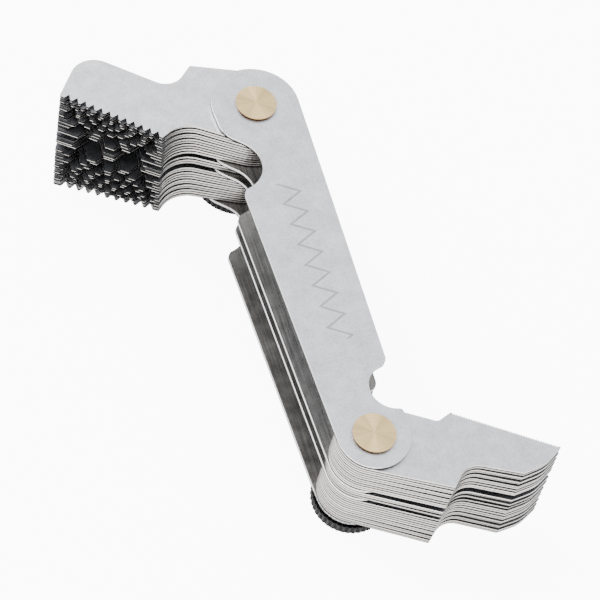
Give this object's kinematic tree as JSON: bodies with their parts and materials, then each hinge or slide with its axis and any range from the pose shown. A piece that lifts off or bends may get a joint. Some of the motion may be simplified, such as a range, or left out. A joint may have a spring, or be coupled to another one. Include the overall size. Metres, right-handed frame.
{
  "type": "screw pitch gauge",
  "caption": "Folding screw pitch gauge: fans of toothed steel leaves swing out from between flat plates, on brass-headed pivot screws held by knurled nuts.",
  "frame": {"origin": "middle of the open tool's box, on the plane of the nuts' outer faces that it lies on", "axes": "+X to the right across the plates, +Y along the plates from the lower pivot to the upper one, +Z from the nuts to the brass screw heads"},
  "size_m": [0.0528, 0.0782, 0.0187],
  "materials": {
    "front_cover_steel": "satin, finely brushed, lightly etched",
    "plate_steel": "satin, finely brushed along its length",
    "upper_leaf_steel": "satin ground steel with bright stamped edges",
    "lower_leaf_steel": "satin ground steel with bright stamped edges",
    "screw_brass": "fine turned, pale",
    "nut_black": "black oxide, satin"
  },
  "bodies": {
    "frame": {"front_cover": "front_cover_steel", "front_divider": "plate_steel", "rear_divider": "plate_steel", "rear_cover": "plate_steel", "upper_screw": "screw_brass", "lower_screw": "screw_brass"},
    "upper_nut": {"upper_nut": "nut_black"},
    "lower_nut": {"lower_nut": "nut_black"},
    "upper_leaf_01": {"upper_leaf_01": "upper_leaf_steel"},
    "upper_leaf_02": {"upper_leaf_02": "upper_leaf_steel"},
    "upper_leaf_03": {"upper_leaf_03": "upper_leaf_steel"},
    "upper_leaf_04": {"upper_leaf_04": "upper_leaf_steel"},
    "upper_leaf_05": {"upper_leaf_05": "upper_leaf_steel"},
    "upper_leaf_06": {"upper_leaf_06": "upper_leaf_steel"},
    "upper_leaf_07": {"upper_leaf_07": "upper_leaf_steel"},
    "upper_leaf_08": {"upper_leaf_08": "upper_leaf_steel"},
    "upper_leaf_09": {"upper_leaf_09": "upper_leaf_steel"},
    "upper_leaf_10": {"upper_leaf_10": "upper_leaf_steel"},
    "upper_leaf_11": {"upper_leaf_11": "upper_leaf_steel"},
    "upper_leaf_12": {"upper_leaf_12": "upper_leaf_steel"},
    "upper_leaf_13": {"upper_leaf_13": "upper_leaf_steel"},
    "upper_leaf_14": {"upper_leaf_14": "upper_leaf_steel"},
    "upper_leaf_15": {"upper_leaf_15": "upper_leaf_steel"},
    "upper_leaf_16": {"upper_leaf_16": "upper_leaf_steel"},
    "upper_leaf_17": {"upper_leaf_17": "upper_leaf_steel"},
    "upper_leaf_18": {"upper_leaf_18": "upper_leaf_steel"},
    "upper_leaf_19": {"upper_leaf_19": "upper_leaf_steel"},
    "upper_leaf_20": {"upper_leaf_20": "upper_leaf_steel"},
    "upper_leaf_21": {"upper_leaf_21": "upper_leaf_steel"},
    "upper_leaf_22": {"upper_leaf_22": "upper_leaf_steel"},
    "upper_leaf_23": {"upper_leaf_23": "upper_leaf_steel"},
    "upper_leaf_24": {"upper_leaf_24": "upper_leaf_steel"},
    "upper_leaf_25": {"upper_leaf_25": "upper_leaf_steel"},
    "upper_leaf_26": {"upper_leaf_26": "upper_leaf_steel"},
    "lower_leaf_01": {"lower_leaf_01": "lower_leaf_steel"},
    "lower_leaf_02": {"lower_leaf_02": "lower_leaf_steel"},
    "lower_leaf_03": {"lower_leaf_03": "lower_leaf_steel"},
    "lower_leaf_04": {"lower_leaf_04": "lower_leaf_steel"},
    "lower_leaf_05": {"lower_leaf_05": "lower_leaf_steel"},
    "lower_leaf_06": {"lower_leaf_06": "lower_leaf_steel"},
    "lower_leaf_07": {"lower_leaf_07": "lower_leaf_steel"},
    "lower_leaf_08": {"lower_leaf_08": "lower_leaf_steel"},
    "lower_leaf_09": {"lower_leaf_09": "lower_leaf_steel"},
    "lower_leaf_10": {"lower_leaf_10": "lower_leaf_steel"},
    "lower_leaf_11": {"lower_leaf_11": "lower_leaf_steel"},
    "lower_leaf_12": {"lower_leaf_12": "lower_leaf_steel"},
    "lower_leaf_13": {"lower_leaf_13": "lower_leaf_steel"},
    "lower_leaf_14": {"lower_leaf_14": "lower_leaf_steel"},
    "lower_leaf_15": {"lower_leaf_15": "lower_leaf_steel"},
    "lower_leaf_16": {"lower_leaf_16": "lower_leaf_steel"},
    "lower_leaf_17": {"lower_leaf_17": "lower_leaf_steel"},
    "lower_leaf_18": {"lower_leaf_18": "lower_leaf_steel"},
    "lower_leaf_19": {"lower_leaf_19": "lower_leaf_steel"},
    "lower_leaf_20": {"lower_leaf_20": "lower_leaf_steel"},
    "lower_leaf_21": {"lower_leaf_21": "lower_leaf_steel"},
    "lower_leaf_22": {"lower_leaf_22": "lower_leaf_steel"},
    "lower_leaf_23": {"lower_leaf_23": "lower_leaf_steel"},
    "lower_leaf_24": {"lower_leaf_24": "lower_leaf_steel"},
    "lower_leaf_25": {"lower_leaf_25": "lower_leaf_steel"},
    "lower_leaf_26": {"lower_leaf_26": "lower_leaf_steel"}
  },
  "joints": [
    {"name": "upper_nut_turn", "type": "hinge", "parent": "frame", "child": "upper_nut", "pos_m": [0.0015, 0.02692, 0], "axis": [0, 0, 1], "continuous": true},
    {"name": "lower_nut_turn", "type": "hinge", "parent": "frame", "child": "lower_nut", "pos_m": [0.0015, -0.02858, 0], "axis": [0, 0, 1], "continuous": true},
    {"name": "upper_leaf_01_swing", "type": "hinge", "parent": "frame", "child": "upper_leaf_01", "pos_m": [0.0015, 0.02692, 0], "axis": [0, 0, 1], "range_deg": [-75, 105]},
    {"name": "upper_leaf_02_swing", "type": "hinge", "parent": "frame", "child": "upper_leaf_02", "pos_m": [0.0015, 0.02692, 0], "axis": [0, 0, 1], "range_deg": [-75.57, 104.43]},
    {"name": "upper_leaf_03_swing", "type": "hinge", "parent": "frame", "child": "upper_leaf_03", "pos_m": [0.0015, 0.02692, 0], "axis": [0, 0, 1], "range_deg": [-75.5, 104.5]},
    {"name": "upper_leaf_04_swing", "type": "hinge", "parent": "frame", "child": "upper_leaf_04", "pos_m": [0.0015, 0.02692, 0], "axis": [0, 0, 1], "range_deg": [-76.44, 103.56]},
    {"name": "upper_leaf_05_swing", "type": "hinge", "parent": "frame", "child": "upper_leaf_05", "pos_m": [0.0015, 0.02692, 0], "axis": [0, 0, 1], "range_deg": [-76.22, 103.78]},
    {"name": "upper_leaf_06_swing", "type": "hinge", "parent": "frame", "child": "upper_leaf_06", "pos_m": [0.0015, 0.02692, 0], "axis": [0, 0, 1], "range_deg": [-77.16, 102.84]},
    {"name": "upper_leaf_07_swing", "type": "hinge", "parent": "frame", "child": "upper_leaf_07", "pos_m": [0.0015, 0.02692, 0], "axis": [0, 0, 1], "range_deg": [-77.09, 102.91]},
    {"name": "upper_leaf_08_swing", "type": "hinge", "parent": "frame", "child": "upper_leaf_08", "pos_m": [0.0015, 0.02692, 0], "axis": [0, 0, 1], "range_deg": [-77.76, 102.24]},
    {"name": "upper_leaf_09_swing", "type": "hinge", "parent": "frame", "child": "upper_leaf_09", "pos_m": [0.0015, 0.02692, 0], "axis": [0, 0, 1], "range_deg": [-78.04, 101.96]},
    {"name": "upper_leaf_10_swing", "type": "hinge", "parent": "frame", "child": "upper_leaf_10", "pos_m": [0.0015, 0.02692, 0], "axis": [0, 0, 1], "range_deg": [-78.32, 101.68]},
    {"name": "upper_leaf_11_swing", "type": "hinge", "parent": "frame", "child": "upper_leaf_11", "pos_m": [0.0015, 0.02692, 0], "axis": [0, 0, 1], "range_deg": [-78.99, 101.01]},
    {"name": "upper_leaf_12_swing", "type": "hinge", "parent": "frame", "child": "upper_leaf_12", "pos_m": [0.0015, 0.02692, 0], "axis": [0, 0, 1], "range_deg": [-78.92, 101.08]},
    {"name": "upper_leaf_13_swing", "type": "hinge", "parent": "frame", "child": "upper_leaf_13", "pos_m": [0.0015, 0.02692, 0], "axis": [0, 0, 1], "range_deg": [-79.86, 100.14]},
    {"name": "upper_leaf_14_swing", "type": "hinge", "parent": "frame", "child": "upper_leaf_14", "pos_m": [0.0015, 0.02692, 0], "axis": [0, 0, 1], "range_deg": [-79.64, 100.36]},
    {"name": "upper_leaf_15_swing", "type": "hinge", "parent": "frame", "child": "upper_leaf_15", "pos_m": [0.0015, 0.02692, 0], "axis": [0, 0, 1], "range_deg": [-80.58, 99.42]},
    {"name": "upper_leaf_16_swing", "type": "hinge", "parent": "frame", "child": "upper_leaf_16", "pos_m": [0.0015, 0.02692, 0], "axis": [0, 0, 1], "range_deg": [-80.51, 99.49]},
    {"name": "upper_leaf_17_swing", "type": "hinge", "parent": "frame", "child": "upper_leaf_17", "pos_m": [0.0015, 0.02692, 0], "axis": [0, 0, 1], "range_deg": [-81.18, 98.82]},
    {"name": "upper_leaf_18_swing", "type": "hinge", "parent": "frame", "child": "upper_leaf_18", "pos_m": [0.0015, 0.02692, 0], "axis": [0, 0, 1], "range_deg": [-81.46, 98.54]},
    {"name": "upper_leaf_19_swing", "type": "hinge", "parent": "frame", "child": "upper_leaf_19", "pos_m": [0.0015, 0.02692, 0], "axis": [0, 0, 1], "range_deg": [-81.74, 98.26]},
    {"name": "upper_leaf_20_swing", "type": "hinge", "parent": "frame", "child": "upper_leaf_20", "pos_m": [0.0015, 0.02692, 0], "axis": [0, 0, 1], "range_deg": [-82.41, 97.59]},
    {"name": "upper_leaf_21_swing", "type": "hinge", "parent": "frame", "child": "upper_leaf_21", "pos_m": [0.0015, 0.02692, 0], "axis": [0, 0, 1], "range_deg": [-82.34, 97.66]},
    {"name": "upper_leaf_22_swing", "type": "hinge", "parent": "frame", "child": "upper_leaf_22", "pos_m": [0.0015, 0.02692, 0], "axis": [0, 0, 1], "range_deg": [-83.28, 96.72]},
    {"name": "upper_leaf_23_swing", "type": "hinge", "parent": "frame", "child": "upper_leaf_23", "pos_m": [0.0015, 0.02692, 0], "axis": [0, 0, 1], "range_deg": [-83.06, 96.94]},
    {"name": "upper_leaf_24_swing", "type": "hinge", "parent": "frame", "child": "upper_leaf_24", "pos_m": [0.0015, 0.02692, 0], "axis": [0, 0, 1], "range_deg": [-84, 96]},
    {"name": "upper_leaf_25_swing", "type": "hinge", "parent": "frame", "child": "upper_leaf_25", "pos_m": [0.0015, 0.02692, 0], "axis": [0, 0, 1], "range_deg": [-83.93, 96.07]},
    {"name": "upper_leaf_26_swing", "type": "hinge", "parent": "frame", "child": "upper_leaf_26", "pos_m": [0.0015, 0.02692, 0], "axis": [0, 0, 1], "range_deg": [-84.6, 95.4]},
    {"name": "lower_leaf_01_swing", "type": "hinge", "parent": "frame", "child": "lower_leaf_01", "pos_m": [0.0015, -0.02858, 0], "axis": [0, 0, 1], "range_deg": [-70, 110]},
    {"name": "lower_leaf_02_swing", "type": "hinge", "parent": "frame", "child": "lower_leaf_02", "pos_m": [0.0015, -0.02858, 0], "axis": [0, 0, 1], "range_deg": [-70.05, 109.95]},
    {"name": "lower_leaf_03_swing", "type": "hinge", "parent": "frame", "child": "lower_leaf_03", "pos_m": [0.0015, -0.02858, 0], "axis": [0, 0, 1], "range_deg": [-69.46, 110.54]},
    {"name": "lower_leaf_04_swing", "type": "hinge", "parent": "frame", "child": "lower_leaf_04", "pos_m": [0.0015, -0.02858, 0], "axis": [0, 0, 1], "range_deg": [-69.88, 110.12]},
    {"name": "lower_leaf_05_swing", "type": "hinge", "parent": "frame", "child": "lower_leaf_05", "pos_m": [0.0015, -0.02858, 0], "axis": [0, 0, 1], "range_deg": [-69.14, 110.86]},
    {"name": "lower_leaf_06_swing", "type": "hinge", "parent": "frame", "child": "lower_leaf_06", "pos_m": [0.0015, -0.02858, 0], "axis": [0, 0, 1], "range_deg": [-69.56, 110.44]},
    {"name": "lower_leaf_07_swing", "type": "hinge", "parent": "frame", "child": "lower_leaf_07", "pos_m": [0.0015, -0.02858, 0], "axis": [0, 0, 1], "range_deg": [-68.97, 111.03]},
    {"name": "lower_leaf_08_swing", "type": "hinge", "parent": "frame", "child": "lower_leaf_08", "pos_m": [0.0015, -0.02858, 0], "axis": [0, 0, 1], "range_deg": [-69.12, 110.88]},
    {"name": "lower_leaf_09_swing", "type": "hinge", "parent": "frame", "child": "lower_leaf_09", "pos_m": [0.0015, -0.02858, 0], "axis": [0, 0, 1], "range_deg": [-68.88, 111.12]},
    {"name": "lower_leaf_10_swing", "type": "hinge", "parent": "frame", "child": "lower_leaf_10", "pos_m": [0.0015, -0.02858, 0], "axis": [0, 0, 1], "range_deg": [-68.64, 111.36]},
    {"name": "lower_leaf_11_swing", "type": "hinge", "parent": "frame", "child": "lower_leaf_11", "pos_m": [0.0015, -0.02858, 0], "axis": [0, 0, 1], "range_deg": [-68.79, 111.21]},
    {"name": "lower_leaf_12_swing", "type": "hinge", "parent": "frame", "child": "lower_leaf_12", "pos_m": [0.0015, -0.02858, 0], "axis": [0, 0, 1], "range_deg": [-68.2, 111.8]},
    {"name": "lower_leaf_13_swing", "type": "hinge", "parent": "frame", "child": "lower_leaf_13", "pos_m": [0.0015, -0.02858, 0], "axis": [0, 0, 1], "range_deg": [-68.61, 111.39]},
    {"name": "lower_leaf_14_swing", "type": "hinge", "parent": "frame", "child": "lower_leaf_14", "pos_m": [0.0015, -0.02858, 0], "axis": [0, 0, 1], "range_deg": [-67.89, 112.11]},
    {"name": "lower_leaf_15_swing", "type": "hinge", "parent": "frame", "child": "lower_leaf_15", "pos_m": [0.0015, -0.02858, 0], "axis": [0, 0, 1], "range_deg": [-68.3, 111.7]},
    {"name": "lower_leaf_16_swing", "type": "hinge", "parent": "frame", "child": "lower_leaf_16", "pos_m": [0.0015, -0.02858, 0], "axis": [0, 0, 1], "range_deg": [-67.71, 112.29]},
    {"name": "lower_leaf_17_swing", "type": "hinge", "parent": "frame", "child": "lower_leaf_17", "pos_m": [0.0015, -0.02858, 0], "axis": [0, 0, 1], "range_deg": [-67.86, 112.14]},
    {"name": "lower_leaf_18_swing", "type": "hinge", "parent": "frame", "child": "lower_leaf_18", "pos_m": [0.0015, -0.02858, 0], "axis": [0, 0, 1], "range_deg": [-67.62, 112.38]},
    {"name": "lower_leaf_19_swing", "type": "hinge", "parent": "frame", "child": "lower_leaf_19", "pos_m": [0.0015, -0.02858, 0], "axis": [0, 0, 1], "range_deg": [-67.38, 112.62]},
    {"name": "lower_leaf_20_swing", "type": "hinge", "parent": "frame", "child": "lower_leaf_20", "pos_m": [0.0015, -0.02858, 0], "axis": [0, 0, 1], "range_deg": [-67.53, 112.47]},
    {"name": "lower_leaf_21_swing", "type": "hinge", "parent": "frame", "child": "lower_leaf_21", "pos_m": [0.0015, -0.02858, 0], "axis": [0, 0, 1], "range_deg": [-66.94, 113.06]},
    {"name": "lower_leaf_22_swing", "type": "hinge", "parent": "frame", "child": "lower_leaf_22", "pos_m": [0.0015, -0.02858, 0], "axis": [0, 0, 1], "range_deg": [-67.36, 112.64]},
    {"name": "lower_leaf_23_swing", "type": "hinge", "parent": "frame", "child": "lower_leaf_23", "pos_m": [0.0015, -0.02858, 0], "axis": [0, 0, 1], "range_deg": [-66.62, 113.38]},
    {"name": "lower_leaf_24_swing", "type": "hinge", "parent": "frame", "child": "lower_leaf_24", "pos_m": [0.0015, -0.02858, 0], "axis": [0, 0, 1], "range_deg": [-67.04, 112.96]},
    {"name": "lower_leaf_25_swing", "type": "hinge", "parent": "frame", "child": "lower_leaf_25", "pos_m": [0.0015, -0.02858, 0], "axis": [0, 0, 1], "range_deg": [-66.45, 113.55]},
    {"name": "lower_leaf_26_swing", "type": "hinge", "parent": "frame", "child": "lower_leaf_26", "pos_m": [0.0015, -0.02858, 0], "axis": [0, 0, 1], "range_deg": [-66.6, 113.4]}
  ]
}
